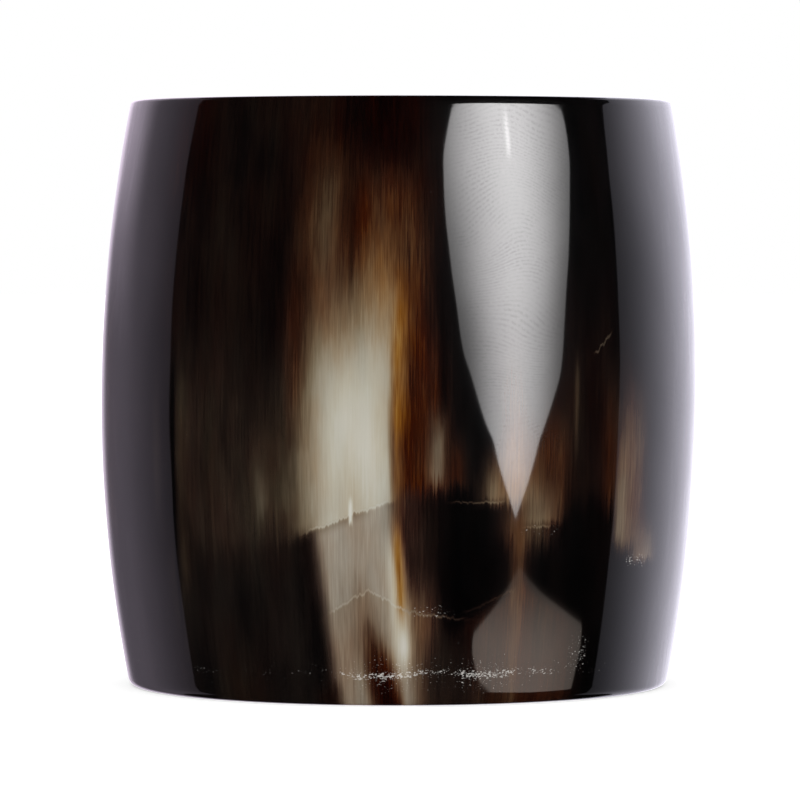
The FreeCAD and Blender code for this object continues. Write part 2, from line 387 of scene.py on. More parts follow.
wall = turned("turned_horn_wall", wall_outline(), hand_finish)
for vertex in wall.data.vertices:
    vertex.co.x += RIM_LEAN * (vertex.co.z / CUP_HEIGHT) ** 2


def new_group(name, takes, gives):
    """A shader node group with named inputs and outputs, each given as its name and its kind."""
    group = bpy.data.node_groups.new(name, "ShaderNodeTree")
    for title, kind, value in takes:
        socket = group.interface.new_socket(title, in_out="INPUT", socket_type="NodeSocket" + kind)
        if value is not None:
            socket.default_value = value
    for title, kind in gives:
        group.interface.new_socket(title, in_out="OUTPUT", socket_type="NodeSocket" + kind)
    return group, group.nodes.new("NodeGroupInput"), group.nodes.new("NodeGroupOutput")


def vector_maths(tree, operation, *values):
    node = tree.nodes.new("ShaderNodeVectorMath")
    node.operation = operation
    for socket, value in zip(node.inputs, values):
        fill(tree, socket, value)
    return node.outputs["Vector"]


def blended(tree, factor, first, second):
    node = tree.nodes.new("ShaderNodeMix")
    node.data_type = "RGBA"
    fill(tree, node.inputs["Factor"], factor)
    fill(tree, node.inputs["A"], first)
    fill(tree, node.inputs["B"], second)
    return node.outputs["Result"]


def ramp(tree, value, stops):
    """A colour ramp. Each stop is a place from 0 to 1 and a colour of 0 to 255 as the eye sees it."""
    node = tree.nodes.new("ShaderNodeValToRGB")
    fill(tree, node.inputs["Fac"], value)
    elements = node.color_ramp.elements
    while len(elements) < len(stops):
        elements.new(0.5)
    for element, (place, colour) in zip(elements, stops):
        element.position = place
        element.color = (*((part / 255) ** 2.2 for part in colour), 1)
    return node.outputs["Color"]


MILLIMETRES = 1000.0


def make_fibres():
    """Upright fibres: noise drawn out along the horn. Pitch and length are in millimetres."""
    group, given, gives = new_group(
        "horn_fibres",
        [("Pitch", "Float", 1.0), ("Length", "Float", 30.0),
         ("Detail", "Float", 2.0), ("Shift", "Float", 0.0)],
        [("Value", "Float")])
    place = coordinates(group)
    out = maths(group, "SQRT", maths(group, "ADD", maths(group, "MULTIPLY", place["X"], place["X"]),
                                     maths(group, "MULTIPLY", place["Y"], place["Y"])))
    across = maths(group, "DIVIDE", BELLY_RADIUS * MILLIMETRES,
                   maths(group, "MULTIPLY", out, given.outputs["Pitch"]))
    along = maths(group, "DIVIDE", MILLIMETRES, given.outputs["Length"])
    drawn = group.nodes.new("ShaderNodeCombineXYZ")
    group.links.new(maths(group, "MULTIPLY", place["X"], across), drawn.inputs["X"])
    group.links.new(maths(group, "MULTIPLY", place["Y"], across), drawn.inputs["Y"])
    group.links.new(maths(group, "ADD", maths(group, "MULTIPLY", place["Z"], along), given.outputs["Shift"]),
                    drawn.inputs["Z"])
    grain = group.nodes.new("ShaderNodeTexNoise")
    group.links.new(drawn.outputs["Vector"], grain.inputs["Vector"])
    grain.inputs["Scale"].default_value = 1.0
    group.links.new(given.outputs["Detail"], grain.inputs["Detail"])
    group.links.new(grain.outputs["Fac"], gives.inputs["Value"])
    return group


def make_streak():
    """Lays one streak over a recipe. A recipe is a colour: red is lightness, green warmth, blue chalk."""
    takes = ["Angle", "Height", "Fray", "Middle", "Lean", "Tilt", "Half Width", "Left Edge", "Right Edge",
             "Bottom", "Top", "Bottom End", "Top End", "Point", "Fray Reach", "Strength"]
    group, given, gives = new_group(
        "horn_streak",
        [("Recipe", "Color", None), ("Streak", "Color", None)] + [(title, "Float", None) for title in takes],
        [("Recipe", "Color")])
    take = given.outputs
    middle = maths(group, "ADD", take["Middle"], maths(group, "MULTIPLY", take["Lean"], take["Height"]))
    off = maths(group, "SUBTRACT", take["Angle"], middle)
    half = take["Half Width"]
    minus = maths(group, "MULTIPLY", half, -1.0)
    left = ease(group, off, maths(group, "SUBTRACT", minus, take["Left Edge"]),
                maths(group, "ADD", minus, take["Left Edge"]))
    right = ease(group, off, maths(group, "ADD", half, take["Right Edge"]),
                 maths(group, "SUBTRACT", half, take["Right Edge"]))
    frayed = maths(group, "ADD", take["Height"], maths(group, "MULTIPLY", take["Fray"], take["Fray Reach"]))
    frayed = maths(group, "SUBTRACT", frayed, maths(group, "MULTIPLY", off, take["Tilt"]))
    pointed = maths(group, "MULTIPLY", maths(group, "ABSOLUTE", off), take["Point"])
    frayed = maths(group, "ADD", frayed, pointed)
    low = ease(group, frayed, maths(group, "SUBTRACT", take["Bottom"], take["Bottom End"]),
               maths(group, "ADD", take["Bottom"], take["Bottom End"]))
    high = ease(group, frayed, maths(group, "ADD", take["Top"], take["Top End"]),
                maths(group, "SUBTRACT", take["Top"], take["Top End"]))
    mask = maths(group, "MULTIPLY", maths(group, "MULTIPLY", left, right),
                 maths(group, "MULTIPLY", low, high))
    mask = maths(group, "MULTIPLY", mask, take["Strength"])
    group.links.new(blended(group, mask, take["Recipe"], take["Streak"]), gives.inputs["Recipe"])
    return group


fibres = make_fibres()
streak = make_streak()


def placed(tree, group, **values):
    """Places a node group, and fills its inputs by name, with _ for a space."""
    node = tree.nodes.new("ShaderNodeGroup")
    node.node_tree = group
    for title, value in values.items():
        fill(tree, node.inputs[title.replace("_", " ").title()], value)
    return node.outputs


# The streaks, in the order in which they are laid over each other. Angles are in degrees from the
# cup's front to its right, and heights in millimetres above the foot. An edge or an end fades over
# twice its number. The tint is lightness, warmth and chalkiness, from 0 to 1.
STREAKS = {}


def lay(name, middle, half, edges, span, ends, tint, lean=0.0, tilt=0.0, point=0.0, fray=1.0, strength=1.0):
    STREAKS[name] = dict(middle=middle, half_width=half, left_edge=edges[0], right_edge=edges[1],
                         bottom=span[0], top=span[1], bottom_end=ends[0], top_end=ends[1], point=point,
                         streak=(*tint, 1.0), lean=lean, tilt=tilt, fray_reach=4 * fray, strength=strength)


# The left of the front: nearly black above, olive brown in the middle, black again at the foot.
lay("left_top", -36, 17, (8, 8), (44, 95), (8, 4), (0.19, 0.4, 0.1))
lay("left_red", -47, 6, (4, 5), (66, 95), (6, 4), (0.20, 0.8, 0.0))
lay("left_foot", -32, 21, (6, 6), (-9, 20), (3, 5), (0.20, 0.2, 0.3))
lay("left_olive", -33, 14, (5, 5), (18, 46), (4.5, 9), (0.31, 0.3, 0.2), fray=0.6)
lay("left_foot_brown", -33, 5, (4, 4), (-9, 8), (3, 6), (0.28, 0.3, 0.1), fray=2)
lay("olive_fibres", -37.5, 1.2, (1.8, 1.8), (26, 40), (6, 9), (0.34, 0.2, 0.1), fray=2, strength=0.7)
lay("grey_shore", -23, 5, (4.5, 4), (23.5, 34), (3, 8), (0.40, 0.1, 0.1), fray=2)
lay("grey_thread", -26.5, 1.3, (1.6, 1.6), (24, 31), (3, 6), (0.48, 0.0, 0.2), fray=2)
lay("far_left_olive", -45.2, 0.9, (1.0, 2.5), (14, 44), (5, 6), (0.37, 0.1, 0.1))
lay("far_left_thread", -52, 1.4, (1.8, 1.8), (22, 42), (5, 9), (0.28, 0.1, 0.3), fray=2)
lay("dark_thread", -47.3, 0.25, (0.6, 0.6), (9, 43), (3, 4), (0.0, 0.0, 0.0))
# Brown above the pale streak, with two paler lobes and a dark tongue between them.
lay("top_brown", -14, 7, (6, 5), (55, 95), (8, 4), (0.24, 0.5, 0.0))
lay("brown_bed", -3.5, 11, (5, 6), (40, 72), (8, 8), (0.37, 0.8, 0.0), fray=2)
lay("left_lobe_glow", -14, 4.5, (4, 3.5), (40, 71), (5, 11), (0.42, 0.45, 0.0), point=1.0, fray=0.6)
lay("left_lobe", -13.4, 2.0, (3.2, 2.8), (40, 61), (5, 15), (0.60, 0.4, 0.1), point=1.0, fray=0.6)
lay("right_lobe_glow", -2.0, 5.0, (3.5, 3.5), (40, 64), (5, 9), (0.53, 0.75, 0.0), point=0.8, fray=1)
lay("right_lobe", -4.2, 3.8, (3.2, 3.0), (40, 56.5), (5, 11), (0.72, 0.5, 0.0), point=0.6, fray=0.6)
lay("between_lobes", -9.6, 1.8, (1.8, 1.8), (40, 55), (5, 6), (0.66, 0.4, 0.1), strength=0.6)
lay("amber_above", 2.4, 2.7, (2.6, 3.0), (56, 64), (5, 7), (0.52, 0.9, 0.0), point=0.8, fray=2)
lay("dark_tongue", -8.8, 1.2, (1.6, 1.6), (62, 95), (6, 3), (0.27, 0.6, 0.0))
lay("tongue_thread", -8.6, 0.3, (0.5, 0.5), (54, 66), (3, 4), (0.32, 0.6, 0.0), strength=0.7)
lay("top_red", -1, 9, (6, 6), (72, 95), (4, 3), (0.19, 1.0, 0.0), fray=2)
# The lower layer: greyer cream that leans to the left as it rises, and a dark wedge at the foot.
lay("lower_brown", 5.0, 3.8, (2, 5), (-9, 30), (3, 3), (0.35, 0.7, 0.2), lean=-0.10)
lay("lower_brown_foot", 5.2, 2.6, (2, 4), (-9, 15), (3, 4), (0.56, 0.6, 0.1), lean=-0.10)
lay("lower_cream", -3.9, 8.2, (2.3, 1.9), (-9, 33), (3, 1), (0.75, 0.3, 0.35), lean=-0.20)
lay("under_arch", -5.5, 8.0, (3, 3), (-9, 15.2), (3, 0.5), (0.66, 0.5, 0.2), point=0.38, fray=0.5,
    strength=0.45)
lay("lower_bright", 2.3, 1.6, (2.2, 1.6), (5.5, 21), (2.5, 3), (0.97, 0.3, 0.1), lean=-0.15)
lay("lower_tan", -4.0, 1.6, (1.5, 1.5), (8, 16), (3, 3), (0.62, 0.4, 0.2), lean=-0.2, strength=0.7)
lay("lower_amber", 2.2, 1.0, (1.2, 1.3), (11, 24), (3, 3), (0.72, 0.9, 0.0), lean=-0.10)
lay("foot_wedge", -1.9, 2.8, (2.2, 1.7), (-9, 9.5), (3, 4.0), (0.40, 0.85, 0.0), lean=-0.38, point=0.8)
lay("foot_wedge_dark", -1.6, 2.0, (1.5, 1.5), (-9, 3.5), (3, 3), (0.27, 0.9, 0.0), lean=-0.45, point=0.8)
lay("foot_shade", -14.5, 2.4, (1.5, 1.8), (-9, 2.5), (3, 1.6), (0.25, 0.5, 0.1))
lay("left_arch", -5.5, 7.5, (1.5, 1.5), (15.0, 15.3), (0.14, 0.14), (0.95, 0.1, 0.3), point=0.38,
    fray=0.5, strength=0.3)
lay("right_arch", 8, 6.5, (2, 2), (11.6, 11.9), (0.14, 0.14), (0.70, 0.2, 0.3), tilt=-0.1, fray=0.5,
    strength=0.5)
# The pale streak, down to the edge of its layer.
lay("cream_shade", -12.9, 7.4, (4.6, 3), (23.6, 45), (1.6, 13), (0.55, 0.25, 0.1), tilt=0.25, fray=0.4)
lay("cream_skirt", -8.9, 8.0, (4.4, 1.7), (24.6, 47), (0.5, 10), (0.86, 0.2, 0.1), tilt=0.25, fray=0.4)
lay("cream_heart", -8.0, 5.2, (3.6, 2.6), (29, 42.5), (5, 8), (0.95, 0.10, 0.0))
lay("cream_thread", -8.9, 0.4, (0.4, 0.4), (23.5, 26.5), (0.5, 1), (1.0, 0.0, 0.0))
lay("seam", -9.5, 8.0, (2, 2), (24.4, 24.7), (0.14, 0.14), (1.0, 0.1, 0.2), tilt=0.25, fray=0.5,
    strength=0.35)
# The amber edge of the pale streak, and the brown fibres right of it.
lay("left_gold", -19.5, 1.3, (2.6, 2.4), (37, 58), (7, 8), (0.46, 1.0, 0.0), strength=0.8)
lay("dark_amber", 5.0, 4.8, (2.2, 3.0), (27.5, 46), (1.6, 8), (0.41, 0.9, 0.0), fray=1.5)
lay("dark_fibres", 8.4, 0.9, (0.9, 0.9), (36, 52), (3, 6), (0.16, 0.7, 0.0), fray=2)
lay("beige_threads", 7.4, 1.7, (1.4, 1.4), (28.5, 37), (1.6, 4), (0.60, 0.3, 0.2), fray=2)
lay("brown_edge", 11.2, 2.2, (1.8, 1.8), (28, 35), (1.2, 4), (0.36, 0.7, 0.0), fray=2)
lay("amber_low", 0.2, 1.0, (1.3, 1.9), (25, 45), (5, 8), (0.63, 0.8, 0.0))
lay("amber_edge", 0.4, 1.1, (1.2, 1.9), (36, 52), (5, 8), (0.77, 1.0, 0.0))
# The right of the front: black below a frayed edge, tan fibres above, painted reflection brown at the foot.
lay("right_olive", 38, 9, (5, 5), (26, 52), (3, 12), (0.20, 0.5, 0.1), fray=2)
lay("right_brown", 27.5, 6.2, (4, 2.6), (24, 38), (3, 6), (0.42, 0.6, 0.0), fray=1.5)
lay("right_under", 25, 6, (3, 3), (20.5, 27), (2.5, 3), (0.40, 0.4, 0.1), fray=1.5)
lay("right_beige", 21, 5.5, (3, 3), (26.0, 32), (1.2, 5), (0.62, 0.35, 0.1), fray=0.8)
lay("under_tip", 21.8, 2.4, (4.5, 3.6), (27, 46), (2, 16), (0.66, 0.75, 0.0), fray=0.6)
lay("right_fringe", 28.0, 4.0, (2.5, 2.5), (23.4, 27), (0.8, 4), (0.58, 0.3, 0.1), fray=0.8)
lay("right_seam", 15.0, 5.0, (1.5, 1.5), (26.2, 26.4), (0.14, 0.14), (0.78, 0.2, 0.2), fray=0.4,
    strength=0.55)
lay("fringe_seam", 27.5, 3.0, (1.0, 1.0), (23.0, 23.2), (0.16, 0.16), (0.78, 0.2, 0.2), fray=0.5,
    strength=0.5)
lay("pale_thread", 35.3, 0.5, (0.7, 0.7), (34, 44), (5, 3), (0.42, 0.2, 0.1), fray=2)
lay("scratch", 41.5, 2.2, (0.6, 0.6), (46.3, 46.6), (0.14, 0.14), (0.55, 0.1, 0.3), tilt=0.6,
    fray=0.8, strength=0.8)
lay("right_shore", 43.5, 1.8, (1.8, 2), (25, 40), (3, 7), (0.42, 0.6, 0.0), fray=2)
lay("far_right_tan", 50.5, 4.5, (3, 4), (19.5, 40), (2.0, 9), (0.54, 0.55, 0.1), fray=1.2)
lay("far_right_beige", 47.0, 1.4, (1.4, 2.0), (20, 33), (2.0, 8), (0.66, 0.4, 0.1), fray=1.2)
lay("far_right_fringe", 55.5, 4.5, (3, 3), (17.6, 22), (1.0, 4), (0.58, 0.3, 0.2), fray=1.0)
# Painted reflection: a brown layer laid in the arched outline of the softbox's image in the table top.
lay("painted_reflection_brown", 25, 13, (5, 4), (-9, 16.0), (3, 1.6), (0.34, 0.75, 0.0), point=0.42, fray=0.5)
lay("base_thread", 11, 5, (4, 4), (-9, 8), (3, 3), (0.30, 0.4, 0.2), fray=2)
# A paler line painted along the top edge of the softbox's image in the table top: painted reflection.
lay("painted_reflection_edge_line", 18.0, 5.0, (1, 1), (13.4, 13.6), (0.14, 0.14), (0.60, 0.3, 0.2), tilt=0.30,
    fray=0.5, strength=0.5)
lay("red_column", 23.6, 1.6, (2.8, 2.8), (-9, 25), (3, 4), (0.51, 0.6, 0.0))
# The back and the sides, which have the same kinds of streak.
lay("right_side_olive", 84, 12, (8, 9), (24, 62), (2.5, 12), (0.30, 0.3, 0.1), fray=3)
lay("back_brown", 150, 32, (12, 12), (19, 80), (3, 14), (0.28, 0.8, 0.1), fray=3)
lay("back_foot", 142, 26, (10, 10), (-9, 13), (3, 2), (0.32, 0.5, 0.3), fray=2)
lay("back_lobe", 121, 5, (3.5, 3), (40, 66), (6, 14), (0.52, 0.6, 0.1), point=1.0, fray=2)
lay("back_lower_cream", 115, 6.5, (2.0, 1.8), (-9, 33), (3, 1), (0.72, 0.3, 0.4), lean=0.08)
lay("back_cream", 116, 6.5, (4.5, 2), (26.5, 50), (0.6, 12), (0.86, 0.25, 0.1), tilt=-0.25, fray=0.5)
lay("back_amber", 124, 1.6, (1.4, 2.5), (24, 58), (3, 10), (0.68, 1.0, 0.0))
lay("back_threads", 160, 5, (3, 3.5), (22, 46), (1.5, 12), (0.56, 0.5, 0.1), fray=3)
lay("left_side_brown", -84, 13, (7, 7), (21, 56), (2.5, 12), (0.34, 0.5, 0.1), fray=3)
lay("left_amber", -112, 9, (4, 5), (23, 70), (2, 12), (0.46, 0.9, 0.0), point=0.6, fray=2)
lay("left_lower_cream", -115, 4.4, (1.8, 2.0), (-9, 33), (3, 1), (0.68, 0.4, 0.3), lean=-0.08)
lay("left_cream", -116, 4.8, (2, 3.5), (26.3, 50), (0.6, 12), (0.82, 0.3, 0.1), tilt=0.2, fray=0.5)
lay("back_left_olive", -150, 15, (9, 7), (17, 56), (3, 14), (0.32, 0.25, 0.2), fray=3)


def make_horn_colour():
    """The horn's natural colouring and some painted reflection, from angle and height, so both sides share
    it.
    """
    group, given, gives = new_group("horn_colouring", [], [("Color", "Color")])
    place = coordinates(group)
    height = maths(group, "MULTIPLY", place["Z"], MILLIMETRES)
    coarse = placed(group, fibres, pitch=4.0, length=70.0, detail=2.0, shift=3.0)["Value"]
    medium = placed(group, fibres, pitch=1.3, length=34.0, detail=2.0, shift=7.0)["Value"]
    fine = placed(group, fibres, pitch=0.32, length=9.0, detail=3.0, shift=1.0)["Value"]
    wander = maths(group, "MULTIPLY", maths(group, "SUBTRACT", coarse, 0.5), 2.5)
    wavering = maths(group, "ADD", angle_round_cup(group, place), wander)
    hairs = placed(group, fibres, pitch=0.17, length=4.0, detail=2.0, shift=51.0)["Value"]
    clouding = placed(group, fibres, pitch=5.0, length=16.0, detail=4.0, shift=61.0)["Value"]
    cloud = maths(group, "SUBTRACT", clouding, 0.5)
    casting = placed(group, fibres, pitch=3.6, length=13.0, detail=3.0, shift=71.0)["Value"]
    cast = maths(group, "SUBTRACT", casting, 0.5)
    grain = maths(group, "SUBTRACT", maths(group, "ADD", maths(group, "MULTIPLY", medium, 0.35),
                                           maths(group, "MULTIPLY", fine, 0.65)), 0.5)
    recipe = (0.06, 0.4, 0.2, 1.0)
    for name, values in STREAKS.items():
        laid = placed(group, streak, recipe=recipe, angle=wavering, height=height, fray=grain, **values)
        recipe = laid["Recipe"]
        recipe.node.label = name
    parts = group.nodes.new("ShaderNodeSeparateColor")
    group.links.new(recipe, parts.inputs["Color"])
    light = parts.outputs["Red"]
    room_to_vary = maths(group, "MULTIPLY", maths(group, "SUBTRACT", 1.08, light),
                         maths(group, "ADD", light, 0.1))
    fibrous = maths(group, "ADD", maths(group, "MULTIPLY", parts.outputs["Green"], 1.1), 0.2)
    hairy = maths(group, "MULTIPLY", maths(group, "SUBTRACT", hairs, 0.5), 0.7)
    rough_grain = maths(group, "ADD", grain, hairy)
    swing = maths(group, "MULTIPLY", maths(group, "MULTIPLY", rough_grain, room_to_vary), fibrous)
    mottling = maths(group, "MULTIPLY", cloud,
                     maths(group, "SUBTRACT", 0.34, maths(group, "MULTIPLY", light, 0.2)))
    light = maths(group, "ADD", maths(group, "ADD", light, swing), mottling)
    warmth = maths(group, "ADD", parts.outputs["Green"], maths(group, "MULTIPLY", cast, 1.1))
    cool = ramp(group, light, [(0.0, (4, 4, 4)), (0.16, (17, 14, 13)), (0.28, (30, 24, 19)),
                               (0.42, (50, 41, 30)), (0.55, (80, 70, 53)), (0.68, (112, 102, 82)),
                               (0.78, (138, 130, 112)), (0.9, (167, 163, 148)), (1.0, (190, 188, 179))])
    warm = ramp(group, light, [(0.0, (4, 3, 3)), (0.16, (18, 5, 3)), (0.28, (30, 10, 2)),
                               (0.42, (52, 21, 5)), (0.55, (80, 43, 13)), (0.68, (113, 71, 24)),
                               (0.78, (139, 101, 47)), (0.9, (169, 152, 122)), (1.0, (190, 186, 174))])
    coloured = blended(group, warmth, cool, warm)
    chalky = group.nodes.new("ShaderNodeHueSaturation")
    group.links.new(coloured, chalky.inputs["Color"])
    group.links.new(maths(group, "SUBTRACT", 1.0, parts.outputs["Blue"]), chalky.inputs["Saturation"])
    group.links.new(chalky.outputs["Color"], gives.inputs["Color"])
    return group


horn_colouring = make_horn_colour()


def out_of_ellipse(tree, across, up, middle, level, half_width, half_height):
    """How far out a place is in an ellipse, squared: 0 at its middle and 1 at its edge."""
    aside = maths(tree, "DIVIDE", maths(tree, "SUBTRACT", across, middle), half_width)
    above = maths(tree, "DIVIDE", maths(tree, "SUBTRACT", up, level), half_height)
    return maths(tree, "ADD", maths(tree, "MULTIPLY", aside, aside), maths(tree, "MULTIPLY", above, above))


def make_specks():
    """Small bright chips where fibres have broken out, in a line above the disc's seat and scattered."""
    group, given, gives = new_group("fibre_chips", [("Amount", "Float", 1.0)], [("Mask", "Float")])
    place = coordinates(group)
    height = maths(group, "MULTIPLY", place["Z"], MILLIMETRES)
    angle = angle_round_cup(group, place)
    chips = placed(group, fibres, pitch=0.34, length=0.17, detail=2.0, shift=11.0)["Value"]
    flecks = placed(group, fibres, pitch=0.16, length=0.4, detail=0.0, shift=15.0)["Value"]
    clusters = placed(group, fibres, pitch=6.0, length=30.0, detail=1.0, shift=5.0)["Value"]
    waver = maths(group, "MULTIPLY", maths(group, "SUBTRACT", clusters, 0.5), 2.0)
    off_line = maths(group, "ABSOLUTE", maths(group, "SUBTRACT", maths(group, "ADD", height, waver), 4.2))
    on_line = ease(group, off_line, 1.1, 0.1)
    near_line = maths(group, "MULTIPLY", ease(group, off_line, 5.0, 0.3), 0.6)
    front = ease(group, maths(group, "ABSOLUTE", maths(group, "SUBTRACT", angle, 9.0)), 36.0, 6.0, 0.42, 1.0)
    wanted = maths(group, "MULTIPLY", maths(group, "MAXIMUM", on_line, near_line), front)
    for patch in ((7, 12.3, 7, 1.4), (38.5, 6.5, 4, 5), (54, 18, 7, 1.6), (28, 22.6, 6, 1.6)):
        away = out_of_ellipse(group, angle, height, *patch)
        wanted = maths(group, "MAXIMUM", wanted, ease(group, away, 1.0, 0.0, 0.0, 0.75))
    wanted = maths(group, "MULTIPLY", wanted, ease(group, clusters, 0.30, 0.55, 0.5, 1.0))
    bar = maths(group, "SUBTRACT", 0.82, maths(group, "MULTIPLY", wanted, 0.38))
    chipped = ease(group, chips, bar, maths(group, "ADD", bar, 0.16))
    fleck_bar = maths(group, "SUBTRACT", 0.95, maths(group, "MULTIPLY", wanted, 0.24))
    flecked = ease(group, flecks, fleck_bar, maths(group, "ADD", fleck_bar, 0.08))
    mask = maths(group, "MULTIPLY", maths(group, "MAXIMUM", chipped, flecked), given.outputs["Amount"])
    group.links.new(mask, gives.inputs["Mask"])
    return group


fibre_chips = make_specks()


def make_relief():
    """The polished skin's fine relief: upright fibres, broad and fine."""
    group, given, gives = new_group("horn_relief", [], [("Height", "Float")])
    fine = placed(group, fibres, pitch=0.3, length=9.0, detail=2.0, shift=21.0)["Value"]
    broad = placed(group, fibres, pitch=2.2, length=26.0, detail=1.0, shift=31.0)["Value"]
    group.links.new(maths(group, "ADD", maths(group, "MULTIPLY", fine, 0.4), broad), gives.inputs["Height"])
    return group


horn_relief = make_relief()


def make_thumbprints():
    """Where a thumb has dulled the polish: close ridges that swirl, hardly seen outside its print."""
    group, given, gives = new_group("thumbprints", [], [("Ridges", "Float")])
    place = coordinates(group)
    angle = angle_round_cup(group, place)
    height = maths(group, "MULTIPLY", place["Z"], MILLIMETRES)
    round_the_cup = maths(group, "MULTIPLY", angle, math.radians(1) * BELLY_RADIUS * MILLIMETRES)
    flat = group.nodes.new("ShaderNodeCombineXYZ")
    group.links.new(round_the_cup, flat.inputs["X"])
    group.links.new(height, flat.inputs["Y"])
    swirl = group.nodes.new("ShaderNodeTexWave")
    swirl.wave_type = "BANDS"
    swirl.bands_direction = "Y"
    group.links.new(flat.outputs["Vector"], swirl.inputs["Vector"])
    swirl.inputs["Scale"].default_value = 0.62
    swirl.inputs["Distortion"].default_value = 110.0
    swirl.inputs["Detail"].default_value = 1.0
    swirl.inputs["Detail Scale"].default_value = 0.075
    hair = group.nodes.new("ShaderNodeTexNoise")
    group.links.new(flat.outputs["Vector"], hair.inputs["Vector"])
    hair.inputs["Scale"].default_value = 2.6
    hair.inputs["Detail"].default_value = 4.0
    patches = group.nodes.new("ShaderNodeTexNoise")
    group.links.new(flat.outputs["Vector"], patches.inputs["Vector"])
    patches.inputs["Scale"].default_value = 0.22
    broken = maths(group, "MULTIPLY", ease(group, hair.outputs["Fac"], 0.35, 0.62),
                   ease(group, patches.outputs["Fac"], 0.36, 0.62, 0.4, 1.0))
    away = out_of_ellipse(group, angle, height, 23.0, 56.0, 17.0, 30.0)
    pressed = ease(group, away, 1.5, 0.6, 0.25, 1.0)
    lines = maths(group, "MULTIPLY", ease(group, swirl.outputs["Fac"], 0.2, 1.0), broken)
    bloom = maths(group, "MULTIPLY", maths(group, "ADD", hair.outputs["Fac"], patches.outputs["Fac"]), 0.45)
    ridges = maths(group, "ADD", maths(group, "MULTIPLY", lines, pressed), bloom)
    group.links.new(ridges, gives.inputs["Ridges"])
    return group


thumbprints = make_thumbprints()


def horn_material(name, roughness, polish, polish_roughness, relief_depth, chips, veil):
    """Horn: its colouring, the relief that the tool left, and a clear polish that thumbs have dulled."""
    material = bpy.data.materials.new(name)
    material.use_nodes = True
    tree = material.node_tree
    shader = tree.nodes["Principled BSDF"]
    colouring = placed(tree, horn_colouring)
    chip = placed(tree, fibre_chips, amount=chips)["Mask"]
    colour = blended(tree, maths(tree, "MULTIPLY", chip, 0.55), colouring["Color"], (0.78, 0.76, 0.72, 1))
    colour = blended(tree, veil, colour, (0.30, 0.25, 0.19, 1))
    tree.links.new(colour, shader.inputs["Base Color"])
    wear = placed(tree, fibres, pitch=3.0, length=9.0, detail=3.0, shift=41.0)["Value"]
    uneven = maths(tree, "MULTIPLY", maths(tree, "ADD", wear, 0.5), roughness)
    tree.links.new(uneven, shader.inputs["Roughness"])
    unpolished = maths(tree, "ADD", maths(tree, "MULTIPLY", placed(tree, thumbprints)["Ridges"], 0.13),
                       maths(tree, "MULTIPLY", chip, 0.6))
    tree.links.new(maths(tree, "MULTIPLY", maths(tree, "SUBTRACT", 1.0, unpolished), polish),
                   shader.inputs["Coat Weight"])
    shader.inputs["Coat Roughness"].default_value = polish_roughness
    shader.inputs["Coat IOR"].default_value = 1.54
    shader.inputs["Specular IOR Level"].default_value = 0.02
    bump = tree.nodes.new("ShaderNodeBump")
    bump.inputs["Distance"].default_value = relief_depth
    tree.links.new(placed(tree, horn_relief)["Height"], bump.inputs["Height"])
    tree.links.new(bump.outputs["Normal"], shader.inputs["Normal"])
    return material


polished = horn_material("polished_horn", roughness=0.3, polish=1.0, polish_roughness=0.045,
                         relief_depth=0.00002, chips=1.0, veil=0.0)
scraped = horn_material("scraped_horn", roughness=0.36, polish=0.6, polish_roughness=0.22,
                        relief_depth=0.00004, chips=0.0, veil=0.08)
wall.data.materials.append(polished)
wall.data.materials.append(scraped)
for face in wall.data.polygons:
    middle = face.center
    inward = face.normal.x * middle.x + face.normal.y * middle.y < -0.3 * math.hypot(middle.x, middle.y)
    face.material_index = 1 if inward and middle.z < CUP_HEIGHT - RIM_INNER_ROUND else 0

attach(wall, "root")
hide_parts("horn_wall")

# ---------------------------------------------------------------------------------------------------
# The floor: a disc cut from horn that was boiled and pressed flat, then turned true and bevelled. It
# is pushed up from below into the wall's rebate.
disc_low, disc_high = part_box("base_disc")
DISC_RADIUS = (disc_high.x - disc_low.x) / 2
DISC_BEVEL = 0.0003


def disc_outline():
    """The cut half of the disc, as radius and height, from its middle below to its middle above."""
    rings = 26
    below = [(DISC_RADIUS - DISC_BEVEL) * i / rings for i in range(1, rings + 1)]
    dish = 0.00006
    under = [(radius, disc_low.z + dish * (1 - (radius / DISC_RADIUS) ** 2)) for radius in below]
    over = [(radius, disc_high.z - dish * (1 - (radius / DISC_RADIUS) ** 2)) for radius in reversed(below)]
    edge = [(DISC_RADIUS, disc_low.z + DISC_BEVEL), (DISC_RADIUS, disc_high.z - DISC_BEVEL)]
    return under + edge + over


def turned_solid(name, outline, turns=180):
    """Revolves an open outline whose two ends are closed by a point on the axis."""
    mesh = bpy.data.meshes.new(name)
    build = bmesh.new()
    start, end = build.verts.new((0, 0, outline[0][1])), build.verts.new((0, 0, outline[-1][1]))
    rings = []
    for i in range(turns):
        angle = math.tau * i / turns
        rings.append([build.verts.new((radius * math.sin(angle), -radius * math.cos(angle), height))
                      for radius, height in outline])
    for ring, after in zip(rings, rings[1:] + rings[:1]):
        build.faces.new((start, after[0], ring[0]))
        build.faces.new((end, ring[-1], after[-1]))
        for i in range(len(outline) - 1):
            build.faces.new((ring[i], after[i], after[i + 1], ring[i + 1]))
    bmesh.ops.recalc_face_normals(build, faces=build.faces)
    for face in build.faces:
        face.smooth = True
    build.to_mesh(mesh)
    build.free()
    made = new_object(name, mesh)
    made.modifiers.new("crisp_edges", "WEIGHTED_NORMAL").keep_sharp = True
    return made


disc = turned_solid("pressed_horn_disc", disc_outline())
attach(disc, "root")
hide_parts("base_disc")


